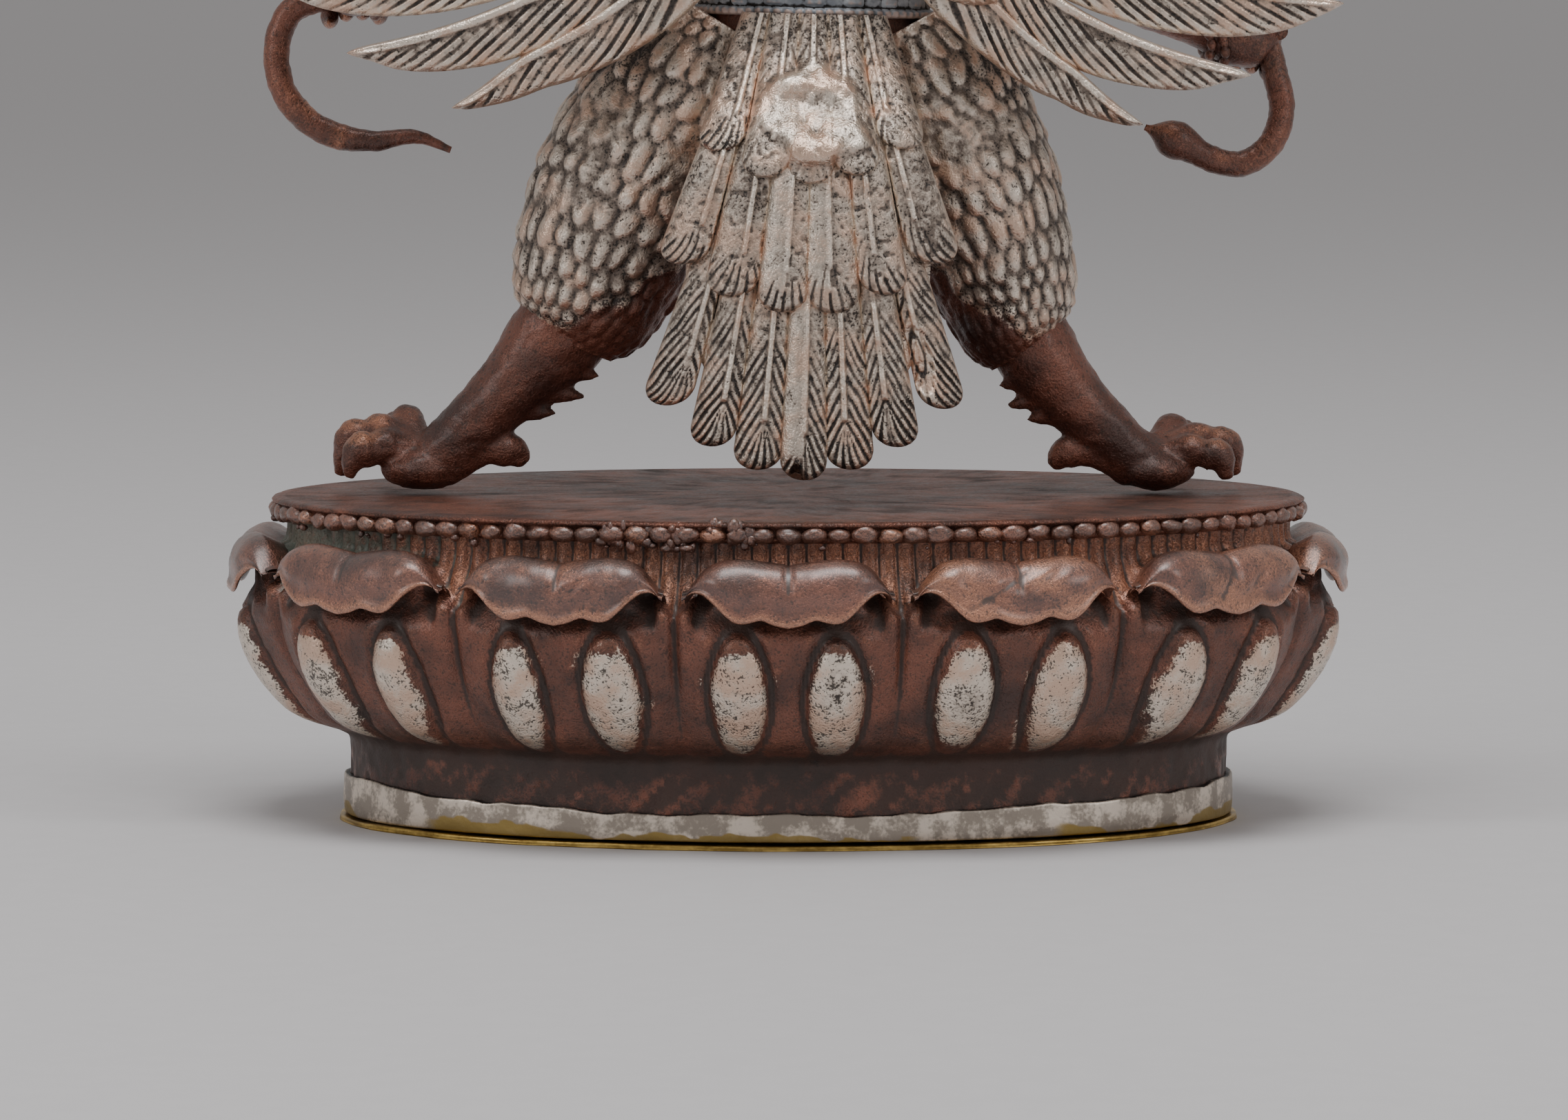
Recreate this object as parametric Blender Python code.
"""Garuda statue: a cast copper bird-man, partly silver plated, on an oval lotus base.

The statue faces -Y with +Z up, and the origin is the middle of the bottom plate's underside.
Run it with: blender --background --python part.py
"""

import math

import bmesh
import bpy
import numpy as np
from mathutils import Matrix, Vector

MM = 0.001

# Base sizes. The oval's neck is an ellipse, and every other ring is set out square to it.
NECK_HALF_LENGTH = 38.3 * MM
NECK_HALF_DEPTH = 22.6 * MM
PLATE_THICKNESS = 0.6 * MM
PLATE_OVERHANG = 0.9 * MM
SEAT_GAP = 0.3 * MM
BAND_HEIGHT = 2.6 * MM
BAND_STEP = 0.45 * MM
NECK_HEIGHT = 3.6 * MM
BELLY_HEIGHT = 17.8 * MM
BELLY_SWELL = 9.4 * MM
COLLAR_SETBACK = 5.4 * MM
RIM_HEIGHT = 1.8 * MM
RIM_OVERHANG = 6.6 * MM
COLLAR_HEIGHT = 1.1 * MM
PETALS = 12
LIP_REACH = 1.4 * MM
LIP_DROP = 5.2 * MM
LIP_THICKNESS = 1.5 * MM
LIP_DIP = 0.5 * MM
LIP_END_FALL = 3.2 * MM
LIP_END_RISE = 2.6 * MM
LIP_ABOVE_BELLY = 0.5 * MM
SEED_HALF_HEIGHT = 5.6 * MM
SEED_RISE = 1.5 * MM
VALLEY_DEPTH = 1.5 * MM
PETAL_COLUMNS = (-1, -0.74, -0.42, -0.18, 0, 0.18, 0.42, 0.74)
PLATE_SIDES = 48

# Heights that follow from the base sizes
FOOT_Z = PLATE_THICKNESS + SEAT_GAP
NECK_Z = FOOT_Z + BAND_HEIGHT
BELLY_Z = NECK_Z + NECK_HEIGHT
LIP_TOP_Z = BELLY_Z + BELLY_HEIGHT + LIP_ABOVE_BELLY
RIM_Z = LIP_TOP_Z + COLLAR_HEIGHT
DISC_Z = RIM_Z + RIM_HEIGHT

# Figure sizes. Its free forms are written in hundredths of its height, with z up from its soles.
FIGURE_HEIGHT = 100.0 * MM
FIGURE_LEAN = math.radians(1.4)
FIGURE_SWAY = 1.2 * MM
WING_THICKNESS = 1.1 * MM
SNAKE_RADIUS = 1.15 * MM
STAND_Z = DISC_Z + SEAT_GAP
UNIT = FIGURE_HEIGHT / 100

# Share of the triangles kept after a union, which leaves small ones along its seams
SEAM_TRIM = 0.72

COPPER = ("oxidised_copper", (0.19, 0.085, 0.06), 0.45, 0.7)
SILVER = ("worn_silver", (0.52, 0.49, 0.45), 0.4, 0.85)
BRASS = ("brass_plate", (0.62, 0.45, 0.16), 0.3, 0.9)


def material(name, colour, roughness, metallic):
    made = bpy.data.materials.new(name)
    made.use_nodes = True
    shader = made.node_tree.nodes["Principled BSDF"]
    shader.inputs["Base Color"].default_value = (*colour, 1)
    shader.inputs["Roughness"].default_value = roughness
    shader.inputs["Metallic"].default_value = metallic
    return made


def smoothstep(x):
    x = min(max(x, 0.0), 1.0)
    return x * x * (3 - 2 * x)


# Meshes


def add_object(name, bm, collection):
    """Closes a bmesh's shading and normals and puts it in a collection."""
    bmesh.ops.recalc_face_normals(bm, faces=bm.faces)
    mesh = bpy.data.meshes.new(name)
    bm.to_mesh(mesh)
    bm.free()
    mesh.shade_smooth()
    mesh.set_sharp_from_angle(angle=math.radians(40))
    made = bpy.data.objects.new(name, mesh)
    collection.objects.link(made)
    return made


def loft(rings):
    """A closed bmesh through rings of equally many points, with a cap at each end."""
    bm = bmesh.new()
    made = [[bm.verts.new(point) for point in ring] for ring in rings]
    for lower, upper in zip(made, made[1:]):
        for i in range(len(lower)):
            j = (i + 1) % len(lower)
            bm.faces.new((lower[i], lower[j], upper[j], upper[i]))
    bm.faces.new(made[0])
    bm.faces.new(made[-1])
    return bm


def frames_along(points, depth=Vector((0, 1, 0))):
    """Tangent, side and depth directions at each point of a path."""
    frames = []
    for i, _ in enumerate(points):
        ahead = points[min(i + 1, len(points) - 1)]
        behind = points[max(i - 1, 0)]
        tangent = (ahead - behind).normalized()
        side = tangent.cross(depth).normalized()
        frames.append((tangent, side, side.cross(tangent).normalized()))
    return frames


def limb(sections, sides, depth=Vector((0, 1, 0))):
    """Rings round a path. Each section is (x, y, z, half width, half depth) in the path's own frame."""
    points = [Vector(section[:3]) for section in sections]
    rings = []
    for section, point, (_, side, back) in zip(sections, points, frames_along(points, depth)):
        ring = []
        for k in range(sides):
            angle = 2 * math.pi * (k + 0.5) / sides
            ring.append(point + side * section[3] * math.cos(angle) + back * section[4] * math.sin(angle))
        rings.append(ring)
    return loft(rings)


def ball(centre, radii, sides=10):
    bm = bmesh.new()
    bmesh.ops.create_uvsphere(bm, u_segments=sides, v_segments=sides * 2 // 3, radius=1)
    bmesh.ops.transform(bm, matrix=Matrix.Translation(centre) @ Matrix.Diagonal((*radii, 1)), verts=bm.verts)
    return bm


def bend(start, middle, end, t):
    """A point of the quadratic curve from start to end that leans towards middle."""
    return start * (1 - t) ** 2 + middle * 2 * t * (1 - t) + end * t**2


def feather(points, widths, thickness, out, shaft=0.5):
    """A blade along a path, with its ridge this share of the way across from its left edge."""
    rings = []
    for point, width, (_, side, back) in zip(points, widths, frames_along(points, out)):
        rise = back * min(thickness, width * 0.4)
        left, right = point - side * width * shaft, point + side * width * (1 - shaft)
        rings.append([left, point + rise, right, point - rise])
    return loft(rings)


def mirrored(sections):
    return [(-section[0], *section[1:]) for section in sections]


# The base


def oval_table(steps=1440):
    """Angles and shares of the way round the neck's ellipse, from the middle of its back."""
    angles = np.linspace(0, 2 * math.pi, steps + 1)
    x, y = NECK_HALF_LENGTH * np.sin(angles), NECK_HALF_DEPTH * np.cos(angles)
    run = np.concatenate([[0], np.cumsum(np.hypot(np.diff(x), np.diff(y)))])
    return angles, run / run[-1]


OVAL_ANGLES, OVAL_SHARES = oval_table()


def oval_point(share, out, z):
    """The point this share of the way round the neck, set out square to it, at this height."""
    angle = float(np.interp(share % 1.0, OVAL_SHARES, OVAL_ANGLES))
    on = Vector((NECK_HALF_LENGTH * math.sin(angle), NECK_HALF_DEPTH * math.cos(angle), 0))
    normal = Vector((math.sin(angle) / NECK_HALF_LENGTH, math.cos(angle) / NECK_HALF_DEPTH, 0)).normalized()
    return on + normal * out + Vector((0, 0, z))


def belly_out(height):
    """How far the petals' belly stands out at this share of its height."""
    return BELLY_SWELL * math.sin(math.pi * (0.04 + 0.6 * height)) ** 0.8


def seed_rise(across, height):
    """The pair of long seeds on each petal."""
    middle, half_width = 0.42, 0.27
    spread = ((abs(across) - middle) / half_width) ** 2
    spread += ((height - 0.36) * BELLY_HEIGHT / SEED_HALF_HEIGHT) ** 2
    return SEED_RISE * math.sqrt(max(0.0, 1 - spread))


def petal_profile(across):
    """Distances out and heights up one petal, from its foot over the curled lip to the collar behind."""
    edge = abs(across) ** 6
    valley = VALLEY_DEPTH * abs(across) ** 4
    rows = []
    for height in (0.05, 0.2, 0.44, 0.68 - 0.04 * edge):
        rows.append((belly_out(height) - valley + seed_rise(across, height), BELLY_Z + height * BELLY_HEIGHT))
    dip = LIP_DIP * math.exp(-((across / 0.15) ** 2))
    top = LIP_TOP_Z - dip - LIP_END_FALL * edge
    tip = LIP_TOP_Z - LIP_DROP - 0.6 * dip + LIP_END_RISE * smoothstep((abs(across) - 0.42) / 0.35)
    tip = min(tip, top - 0.7 * LIP_THICKNESS)
    reach = BELLY_SWELL + LIP_REACH - 0.8 * LIP_END_FALL * edge
    rows += [
        (reach - LIP_THICKNESS, tip + 0.3 * (top - tip)),
        (reach - 0.3 * LIP_THICKNESS, tip),
        (reach, tip + 0.4 * (top - tip)),
        (reach - 0.5 * LIP_THICKNESS, top - 0.15 * LIP_THICKNESS),
        (reach - 1.6 * LIP_THICKNESS, top),
        (COLLAR_SETBACK, top - 0.8 * LIP_THICKNESS),
    ]
    return rows


def base_shape():
    """The oval base in one loft: foot band, neck, petals, collar, rim and the disc for the feet."""
    below = [
        (BAND_STEP, FOOT_Z),
        (BAND_STEP, NECK_Z),
        (0, NECK_Z + 0.5 * BAND_STEP),
        (0, BELLY_Z),
    ]
    above = [
        (COLLAR_SETBACK, RIM_Z),
        (RIM_OVERHANG, RIM_Z + 0.5 * RIM_HEIGHT),
        (RIM_OVERHANG - 0.6 * RIM_HEIGHT, DISC_Z),
    ]
    columns = []
    for index in range(PETALS):
        for across in PETAL_COLUMNS:
            profile = below + petal_profile(across) + above
            columns.append([oval_point((index + 0.5 * across) / PETALS, out, z) for out, z in profile])
    return loft(list(zip(*columns)))


def plate_shape():
    out = BAND_STEP + PLATE_OVERHANG
    shares = [k / PLATE_SIDES for k in range(PLATE_SIDES)]
    return loft([[oval_point(share, out, z) for share in shares] for z in (0, PLATE_THICKNESS)])


# The figure, in hundredths of its height. Left and right limbs are mirror images.

TRUNK = [
    (0, 0.0, 31.5, 5.0, 5.0),
    (0, 0.2, 36.5, 10.6, 7.6),
    (0, 0.2, 41.0, 9.7, 7.3),
    (0, 0.0, 41.4, 10.3, 7.9),
    (0, 0.0, 44.4, 10.0, 7.7),
    (0, 0.0, 44.8, 9.0, 7.0),
    (0, -0.7, 49.0, 9.4, 7.3),
    (0, -0.4, 54.5, 10.8, 7.4),
    (0, 0.0, 59.0, 12.6, 7.4),
    (0, 0.1, 62.5, 11.6, 6.4),
    (0, -0.2, 65.5, 7.4, 5.5),
    (0, -0.8, 68.5, 5.9, 5.4),
]
HEAD = [
    (0, -1.4, 71.5, 7.4, 7.4),
    (0, -1.6, 76.0, 8.5, 8.8),
    (0, -1.5, 79.6, 8.0, 8.6),
    (0, -1.4, 80.2, 8.9, 9.4),
    (0, -1.2, 83.2, 8.5, 8.9),
    (0, -0.8, 84.0, 5.8, 6.0),
]
TOPKNOT = [
    (0, 0.2, 87.4, 3.4, 3.2),
    (0, 0.4, 88.4, 2.6, 2.6),
    (0, 0.4, 91.4, 3.6, 3.4),
    (0, 0.4, 95.6, 2.0, 1.9),
    (0, 0.4, 100.0, 0.3, 0.3),
]
HAND_DROPS = {1: 1.8, -1: 4.4}
EYE_MIDDLE, EYE_RADII = (4.4, -8.0, 78.8), (2.0, 2.0, 2.0)
EAR_MIDDLE, EAR_RADII = (8.6, -1.0, 74.4), (1.4, 2.4, 3.2)
PALM_MIDDLE, PALM_RADII = (39.2, -5.6, 44.6), (3.1, 2.7, 2.4)
WING_PEG = [(9.0, 4.0, 60.6, 2.6, 2.6), (9.0, 9.0, 60.6, 2.6, 2.6)]
# The short feathers that lie like scales on each thigh: rows, feathers round it and how proud their tips stand
THIGH_ROWS = 6
THIGH_FEATHERS_AROUND = 8
THIGH_FEATHER_LIFT = 0.6
# Each toe's heading in radians to the front of straight outwards, its length and its knuckle's height
FRONT_TOES = ((-0.35, 6.6, 1.4), (0.3, 7.6, 2.4), (1.1, 7.0, 3.0))
# Each tuft's height on the shank and its length
TUFTS = ((11.8, 5.2), (10.2, 5.6), (8.6, 5.0))
THIGH = [
    (7.0, 0.0, 40.0, 6.4, 6.0),
    (9.3, 0.0, 36.0, 8.0, 7.4),
    (12.2, -0.6, 31.0, 8.3, 7.8),
    (15.2, -1.0, 25.0, 8.0, 7.7),
    (17.6, -1.0, 19.0, 6.9, 6.8),
    (19.3, -0.6, 13.4, 5.0, 5.2),
]
SHANK = [
    (18.2, -0.6, 17.0, 3.4, 3.4),
    (21.0, -0.3, 12.6, 4.0, 3.8),
    (24.6, 0.0, 8.4, 3.0, 3.0),
    (28.4, 0.0, 4.6, 2.7, 2.7),
    (31.0, -0.2, 2.4, 2.5, 2.6),
]
FOOT_MIDDLE, FOOT_RADII = (32.0, -0.4, 1.9), (3.6, 3.5, 1.9)
ARM = [
    (9.5, 0.6, 60.8, 4.0, 4.4),
    (14.5, 0.4, 59.6, 4.3, 4.4),
    (20.5, -0.6, 54.8, 3.7, 3.7),
    (26.0, -1.8, 49.8, 3.1, 3.1),
    (30.5, -3.0, 47.6, 3.3, 3.2),
    (35.0, -4.4, 45.8, 2.4, 2.4),
    (38.2, -5.2, 44.6, 2.6, 2.9),
    (40.6, -5.4, 43.8, 2.0, 2.5),
]
UPPER_BEAK = [
    (0, -6.5, 77.0, 4.6, 4.2),
    (0, -11.0, 77.4, 3.9, 3.6),
    (0, -15.4, 76.2, 2.8, 2.8),
    (0, -18.0, 73.6, 1.8, 1.9),
    (0, -18.4, 71.0, 0.6, 0.6),
]
LOWER_BEAK = [(0, -6.0, 72.0, 3.6, 2.0), (0, -11.0, 71.4, 2.8, 1.4), (0, -14.8, 71.6, 1.2, 0.7)]
HORN = [
    (4.2, 0.0, 82.5, 2.0, 2.0),
    (7.2, 0.4, 87.0, 1.7, 1.7),
    (7.6, 0.6, 91.5, 1.2, 1.2),
    (5.4, 0.4, 95.5, 0.4, 0.4),
]
HIND_TOE = [
    (30.0, 0.4, 2.2, 2.0, 1.6),
    (26.6, 0.6, 3.4, 1.3, 1.3),
    (24.2, 0.6, 3.4, 1.5, 1.5),
    (22.9, 0.6, 2.2, 0.6, 0.6),
]
# The tail's core: height and half width of each section, and how deep it is below the rump
TAIL_TOP = 42
TAIL_SECTIONS = ((42, 5.6), (37, 7.2), (32, 8.6), (27, 9.6), (20, 10.4), (13, 9.4), (7, 5.6))
TAIL_DEPTH = 2.0
# Each tier's feathers, root and tip heights, half spread, rise of the outer tips and layer
TAIL_TIERS = (
    (7, 25.0, 2.2, 13.2, 7.6, 0.0),
    (6, 35.0, 16.6, 12.9, 5.0, 0.9),
    (5, 41.5, 28.0, 9.8, 3.6, 1.7),
)
# The snake's route: up from its tail through the left hand to the beak, and down through the right hand
SNAKE_TAIL = [
    (30.2, -3.6, 28.8),
    (33.4, -3.6, 29.9),
    (37.4, -3.6, 29.4),
    (41.6, -3.8, 30.3),
    (44.6, -4.2, 33.0),
    (45.7, -4.8, 36.8),
    (44.6, -5.2, 40.4),
    (41.6, -5.4, 41.8),
]
SNAKE_RISE = [
    (37.0, -6.6, 43.4),
    (27.0, -12.6, 51.6),
    (16.0, -16.4, 63.6),
    (6.4, -15.6, 71.8),
    (0.0, -14.4, 73.6),
]
SNAKE_FALL = [(-6.4, -15.6, 71.8), (-16.0, -16.4, 63.6), (-27.0, -12.6, 51.6), (-36.0, -6.6, 43.2)]
SNAKE_HEAD = [
    (-40.4, -5.4, 40.4),
    (-41.8, -5.2, 37.0),
    (-42.4, -4.8, 34.0),
    (-41.4, -4.2, 31.0),
    (-39.0, -3.8, 29.3),
    (-36.2, -3.6, 29.7),
    (-33.6, -3.4, 31.0),
    (-30.4, -3.4, 32.3),
]


def to_world(point):
    """Figure units to the row frame. Above its planted feet the casting leans and sways to its own right."""
    x, y, z = point
    free = smoothstep(max(z / 14, (26 - abs(x)) / 10))
    lean = math.tan(FIGURE_LEAN) * free
    sway = FIGURE_SWAY / UNIT * free * smoothstep((26 - abs(x)) / 14)
    return Vector((x - sway - lean * z, y, z + lean * x)) * UNIT + Vector((0, 0, STAND_Z))


def placed(bm):
    """Sets a shape in the row frame, in triangles, so that the Boolean only meets flat faces."""
    for vert in bm.verts:
        vert.co = to_world(vert.co)
    bmesh.ops.triangulate(bm, faces=bm.faces)
    return bm


def thigh_shape(side):
    """A thigh with rows of feathers like scales, each row's tips standing proud of the row below."""
    points = [Vector((side * section[0], *section[1:3])) for section in THIGH]
    frames = frames_along(points)
    rings = []
    for step in range(2 * THIGH_ROWS + 1):
        at = step / (2 * THIGH_ROWS) * (len(THIGH) - 1)
        low = min(int(at), len(THIGH) - 2)
        part = at - low
        centre = points[low].lerp(points[low + 1], part)
        across = frames[low][1].lerp(frames[low + 1][1], part).normalized()
        back = frames[low][2].lerp(frames[low + 1][2], part).normalized()
        half_width, half_depth = (THIGH[low][k] * (1 - part) + THIGH[low + 1][k] * part for k in (3, 4))
        ring = []
        for k in range(2 * THIGH_FEATHERS_AROUND):
            angle = math.pi * k / THIGH_FEATHERS_AROUND
            tip = step % 2 and (k + step // 2) % 2
            rise = THIGH_FEATHER_LIFT * (1 if tip else -0.2)
            ring.append(
                centre
                + across * (half_width + rise) * math.cos(angle)
                + back * (half_depth + rise) * math.sin(angle)
            )
        rings.append(ring)
    return loft(rings)


def toe_shape(side, heading, length, knuckle):
    """An arched toe that runs out from the ankle and comes down on its claw."""
    ankle = Vector((side * FOOT_MIDDLE[0], FOOT_MIDDLE[1], FOOT_MIDDLE[2] + 0.5))
    way = Vector((side * math.cos(heading), -math.sin(heading), 0))
    rise = Vector((0, 0, 1))
    profile = ((0, 0.4, 1.8), (0.5, knuckle, 1.5), (0.82, 0.75 * knuckle, 1.7), (1.0, -1.2, 0.7))
    sections = []
    for along, lift, radius in profile:
        point = ankle + way * length * along + rise * lift
        sections.append((*point, radius, radius))
    return limb(sections, 6, depth=rise)


def tuft_shape(side, top, length):
    """One of the pointed feathers on the back of a shank."""
    root = Vector((side * (24.2 - 0.9 * (top - 10)), 0.4, top))
    tip = root + Vector((-side * length, 0.6, -0.42 * length))
    middle = root.lerp(tip, 0.5) + Vector((0, 0, -0.8))
    points = [bend(root, middle, tip, t) for t in (0, 0.5, 0.95)]
    return feather(points, (3.2, 2.6, 0.5), 0.8, Vector((0, 1, 0)))


def tail_back(x, z):
    """How far back the tail's surface lies: a rounded rump, then a fan that falls away at its sides."""
    drop = TAIL_TOP - z
    return 7.0 + 7.4 * smoothstep(drop / 15) + 0.10 * max(drop - 14, 0) - 0.02 * x * x


def tail_core():
    """The solid under the tail's feathers: deep at the rump, and a thin fan below it."""
    rings = []
    for z, half_width in TAIL_SECTIONS:
        hollow = smoothstep((33 - z) / 8)
        shares = (-1, -0.5, 0, 0.5, 1)
        ring = [Vector((half_width * k, tail_back(half_width * k, z) - 0.4, z)) for k in shares]
        for k in reversed(shares):
            inner = tail_back(half_width * k, z) - 0.4 - TAIL_DEPTH
            ring.append(Vector((half_width * k, inner * hollow + 1.0 * (1 - hollow), z)))
        rings.append(ring)
    return loft(rings)


def tail_tier(count, root_z, tip_z, spread, drop, layer):
    """One tier of round-ended feathers side by side, with a groove between each pair."""
    rings = []
    for step in range(3 * count + 1):
        across = 2 * step / (3 * count) - 1
        groove = step % 3 == 0
        rise = layer - 0.25 * abs(across) + (0 if groove else 1)
        end_z = tip_z + drop * across**2 + (1.6 if groove else 0)
        ring = []
        for t, up in ((0, rise), (0.55, rise), (0.9, rise), (1, rise - 0.6), (1, -1.2), (0, -1.2)):
            x, z = spread * across * (0.62 + 0.38 * t), root_z + (end_z - root_z) * t
            ring.append(Vector((x, tail_back(x, z) + up, z)))
        rings.append(ring)
    return loft(rings)


def tail_shapes():
    """Seven long feathers under six under five, each tier shorter and further out than the one below."""
    return [tail_core()] + [tail_tier(*tier) for tier in TAIL_TIERS]


def hand_shapes(side, drop):
    """A closed fist with its four claws hooked under the snake."""
    palm = Vector((side * PALM_MIDDLE[0], PALM_MIDDLE[1], PALM_MIDDLE[2] - drop))
    shapes = [ball(palm, PALM_RADII, 6)]
    for k in range(4):
        x = palm.x + side * (1.45 * k - 2.2)
        curl = [(x, -5.0, 1.6, 1.0), (x, -8.2, 0.6, 0.95), (x, -8.0, -2.4, 0.9), (x, -5.4, -3.6, 0.35)]
        shapes.append(limb([(a, b, palm.z + c, r, r) for a, b, c, r in curl], 4, Vector((1, 0, 0))))
    return shapes


def smooth_route(points, steps):
    """Points on the smooth curve that passes through all of these."""
    knots = [Vector(p) for p in points]
    ends = [2 * knots[0] - knots[1]] + knots + [2 * knots[-1] - knots[-2]]
    route = []
    for a, b, c, d in zip(ends, ends[1:], ends[2:], ends[3:]):
        for step in range(steps):
            t = step / steps
            curl = (2 * a - 5 * b + 4 * c - d) * t**2 + (3 * b - a - 3 * c + d) * t**3
            route.append(b + 0.5 * ((c - a) * t + curl))
    return route + [knots[-1]]


def snake_radius(share):
    """The snake's girth from its tail tip, at 0, to its snout, at 1."""
    girth = min(1.0, 0.25 + 7 * share)
    head = math.exp(-(((share - 0.965) / 0.02) ** 2))
    return girth * (1 + 0.45 * head) * (1 - 0.75 * smoothstep((share - 0.975) / 0.025))


def snake_object(collection):
    """The snake from its tail in the left hand, through the beak, to its head beyond the right hand."""
    knots = SNAKE_TAIL + SNAKE_RISE + SNAKE_FALL + SNAKE_HEAD
    route = smooth_route(knots, 2)
    curve = bpy.data.curves.new("snake_line", "CURVE")
    curve.dimensions = "3D"
    curve.bevel_depth = SNAKE_RADIUS
    curve.bevel_resolution = 0
    curve.use_fill_caps = True
    spline = curve.splines.new("POLY")
    spline.points.add(len(route) - 1)
    for k, (point, place) in enumerate(zip(spline.points, route)):
        point.co = (*to_world(place), 1)
        point.radius = snake_radius(k / (len(route) - 1))
    line = bpy.data.objects.new("snake_line", curve)
    collection.objects.link(line)
    bpy.context.view_layer.update()
    mesh = bpy.data.meshes.new_from_object(line.evaluated_get(bpy.context.evaluated_depsgraph_get()))
    bpy.data.objects.remove(line)
    bm = bmesh.new()
    bm.from_mesh(mesh)
    bmesh.ops.remove_doubles(bm, verts=bm.verts, dist=0.01 * MM)
    return add_object("snake_shape", bm, collection)


def side_shapes(side):
    """The limbs, eye and ear of one side, and the peg that its wing is fixed to."""
    drop = HAND_DROPS[side]
    arm = [(x, y, z - drop * smoothstep((x - 12) / 26), w, d) for x, y, z, w, d in ARM]
    shapes = [thigh_shape(side)]
    for sections, sides in ((SHANK, 8), (arm, 8), (HORN, 6), (HIND_TOE, 6)):
        shapes.append(limb(sections if side > 0 else mirrored(sections), sides))
    for (x, y, z), radii in ((FOOT_MIDDLE, FOOT_RADII), (EYE_MIDDLE, EYE_RADII), (EAR_MIDDLE, EAR_RADII)):
        shapes.append(ball((side * x, y, z), radii, 8))
    peg = WING_PEG if side > 0 else mirrored(WING_PEG)
    shapes.append(limb(peg, 8, Vector((0, 0, 1))))
    shapes += [toe_shape(side, *toe) for toe in FRONT_TOES]
    shapes += [tuft_shape(side, *tuft) for tuft in TUFTS]
    return shapes + hand_shapes(side, drop)


def figure_shapes():
    """Every form that the caster joined into the one figure."""
    up = Vector((0, 0, 1))
    shapes = [limb(TRUNK + HEAD + TOPKNOT, 12), limb(UPPER_BEAK, 8, up), limb(LOWER_BEAK, 6, up)]
    return shapes + side_shapes(-1) + side_shapes(1) + tail_shapes()


# The wings, in the same figure units

WING_FEATHERS = 8
WING_SHOULDER = Vector((8.0, 0, 62.5))
WING_ROOT, WING_ROOT_STEP = Vector((4.6, 0, 54.5)), Vector((1.3, 0, 2.6))
WING_FAN_FROM, WING_FAN_STEP, WING_FAN_CLOSE = math.radians(-53.7), math.radians(14.3), math.radians(0.43)
WING_SHORTEST, WING_LONGER = 38.4, 2.5
WING_BACK = 8.7
WING_FEATHER_WIDTH = 5.6
# The wing's arm: which feather it lies over, how far along that feather, and its radius
WING_ARM = ((5.4, 0.0, 2.2), (6.6, 0.06, 2.5), (7.3, 0.3, 2.0), (7.3, 0.55, 1.5), (7.2, 0.8, 0.7))


def wing_path(index, side, t):
    """A point along one flight feather: it drops from the shoulder and sweeps outwards."""
    root = WING_ROOT + WING_ROOT_STEP * index
    angle = WING_FAN_FROM + WING_FAN_STEP * index - WING_FAN_CLOSE * index**2
    tip = WING_SHOULDER + (WING_SHORTEST + WING_LONGER * index) * Vector((math.cos(angle), 0, math.sin(angle)))
    chord = tip - root
    middle = root.lerp(tip, 0.5) + Vector((chord.z, 0, -chord.x)) * 0.2
    point = bend(root, middle, tip, t)
    point.y = WING_BACK + 0.045 * point.x + 0.25 * (WING_FEATHERS - 1 - index)
    point.x *= side
    return point


def flight_feather(index, side):
    """A long feather whose vane narrows to a sickle-shaped tip."""
    points, widths = [], []
    for t, share in ((0, 0.75), (0.3, 1.0), (0.62, 1.0), (0.78, 0.5), (1.0, 0.06)):
        points.append(wing_path(index, side, t))
        widths.append(WING_FEATHER_WIDTH * share)
    return feather(points, widths, WING_THICKNESS / UNIT * 0.7, Vector((0, 1, 0)), 0.5 - 0.32 * side)


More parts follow.
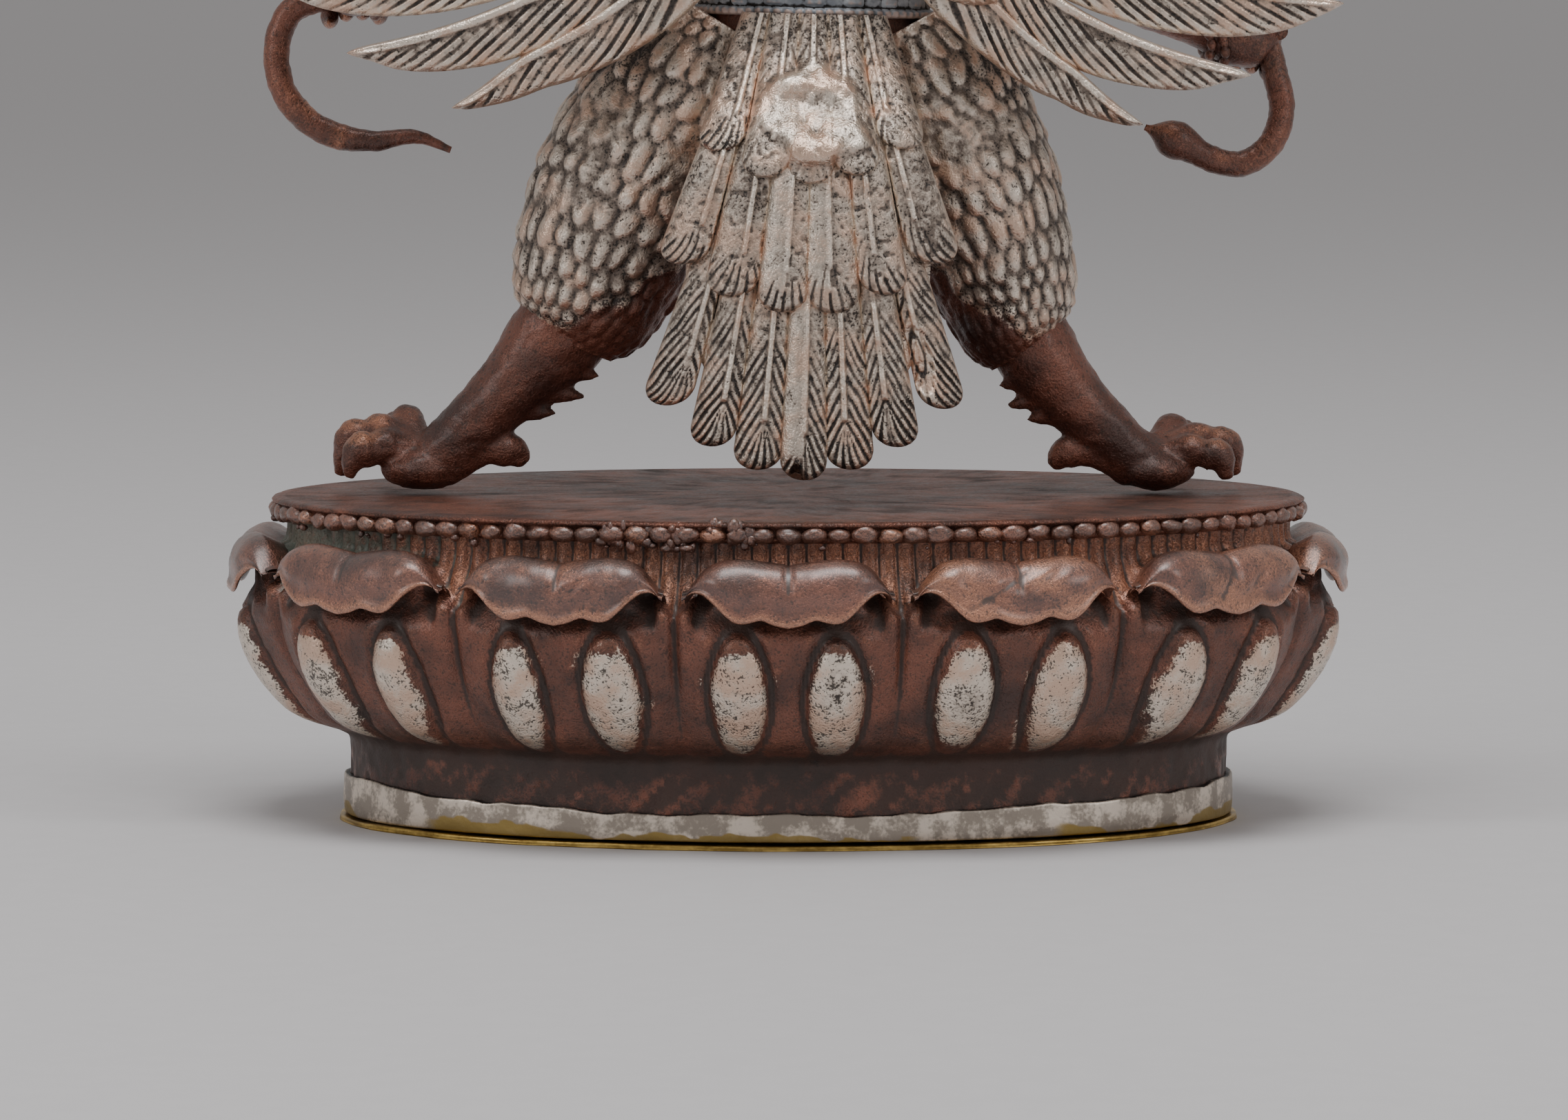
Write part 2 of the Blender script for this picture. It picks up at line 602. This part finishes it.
def covert_shield(side):
    """The short feathers over the roots of the long ones, as one piece with a scalloped edge."""
    rings = []
    for step in range(2 * WING_FEATHERS + 1):
        index = step / 2 - 0.5
        groove = step % 2 == 0
        rise = 0.9 if groove else 1.5
        ring = []
        for t, up in ((0.0, rise), (0.33 if groove else 0.42, rise - 0.2), (0.33, -0.4), (0.0, -0.4)):
            ring.append(wing_path(index, side, t) + Vector((0, up, 0)))
        rings.append(ring)
    return loft(rings)


def wing_shapes(side):
    """The flight feathers, the coverts over them and the arm along the leading edge."""
    shapes = [flight_feather(index, side) for index in range(WING_FEATHERS)]
    arm = []
    for index, reach, radius in WING_ARM:
        arm.append((*(wing_path(index, side, reach) + Vector((0, 0.5, 0.9))), radius, 1.4))
    return shapes + [covert_shield(side), limb(arm, 6)]


# Assembly


def collection_named(name, hidden=False):
    made = bpy.data.collections.new(name)
    bpy.context.scene.collection.children.link(made)
    made.hide_render = hidden
    return made


def fused(name, first, others, finish, statue):
    """One casting: the first shape with all the others joined to it by a Boolean union."""
    body = add_object(name, first, statue)
    body.data.materials.append(material(*finish))
    hidden = collection_named(name + "_joined", hidden=True)
    for k, shape in enumerate(others):
        piece = shape if isinstance(shape, bpy.types.Object) else add_object(f"{name}_{k}", shape, hidden)
        if piece.name not in hidden.objects:
            hidden.objects.link(piece)
        piece.hide_render = True
        piece.display_type = "WIRE"
    join = body.modifiers.new("join", "BOOLEAN")
    join.operation = "UNION"
    join.solver = "EXACT"
    join.operand_type = "COLLECTION"
    join.collection = hidden
    trim = body.modifiers.new("trim", "DECIMATE")
    trim.ratio = SEAM_TRIM
    return body


def main():
    for old in list(bpy.data.objects):
        bpy.data.objects.remove(old)
    statue = collection_named("garuda_statue")
    plate = add_object("base_plate", plate_shape(), statue)
    plate.data.materials.append(material(*BRASS))
    base = add_object("lotus_base", base_shape(), statue)
    base.data.materials.append(material(*COPPER))
    scratch = collection_named("snake_scratch", hidden=True)
    snake = snake_object(scratch)
    first, *others = [placed(shape) for shape in figure_shapes()]
    fused("garuda", first, [*others, snake], SILVER, statue)
    for side, name in ((1, "wing_left"), (-1, "wing_right")):
        first, *others = [placed(shape) for shape in wing_shapes(side)]
        fused(name, first, others, SILVER, statue)


main()
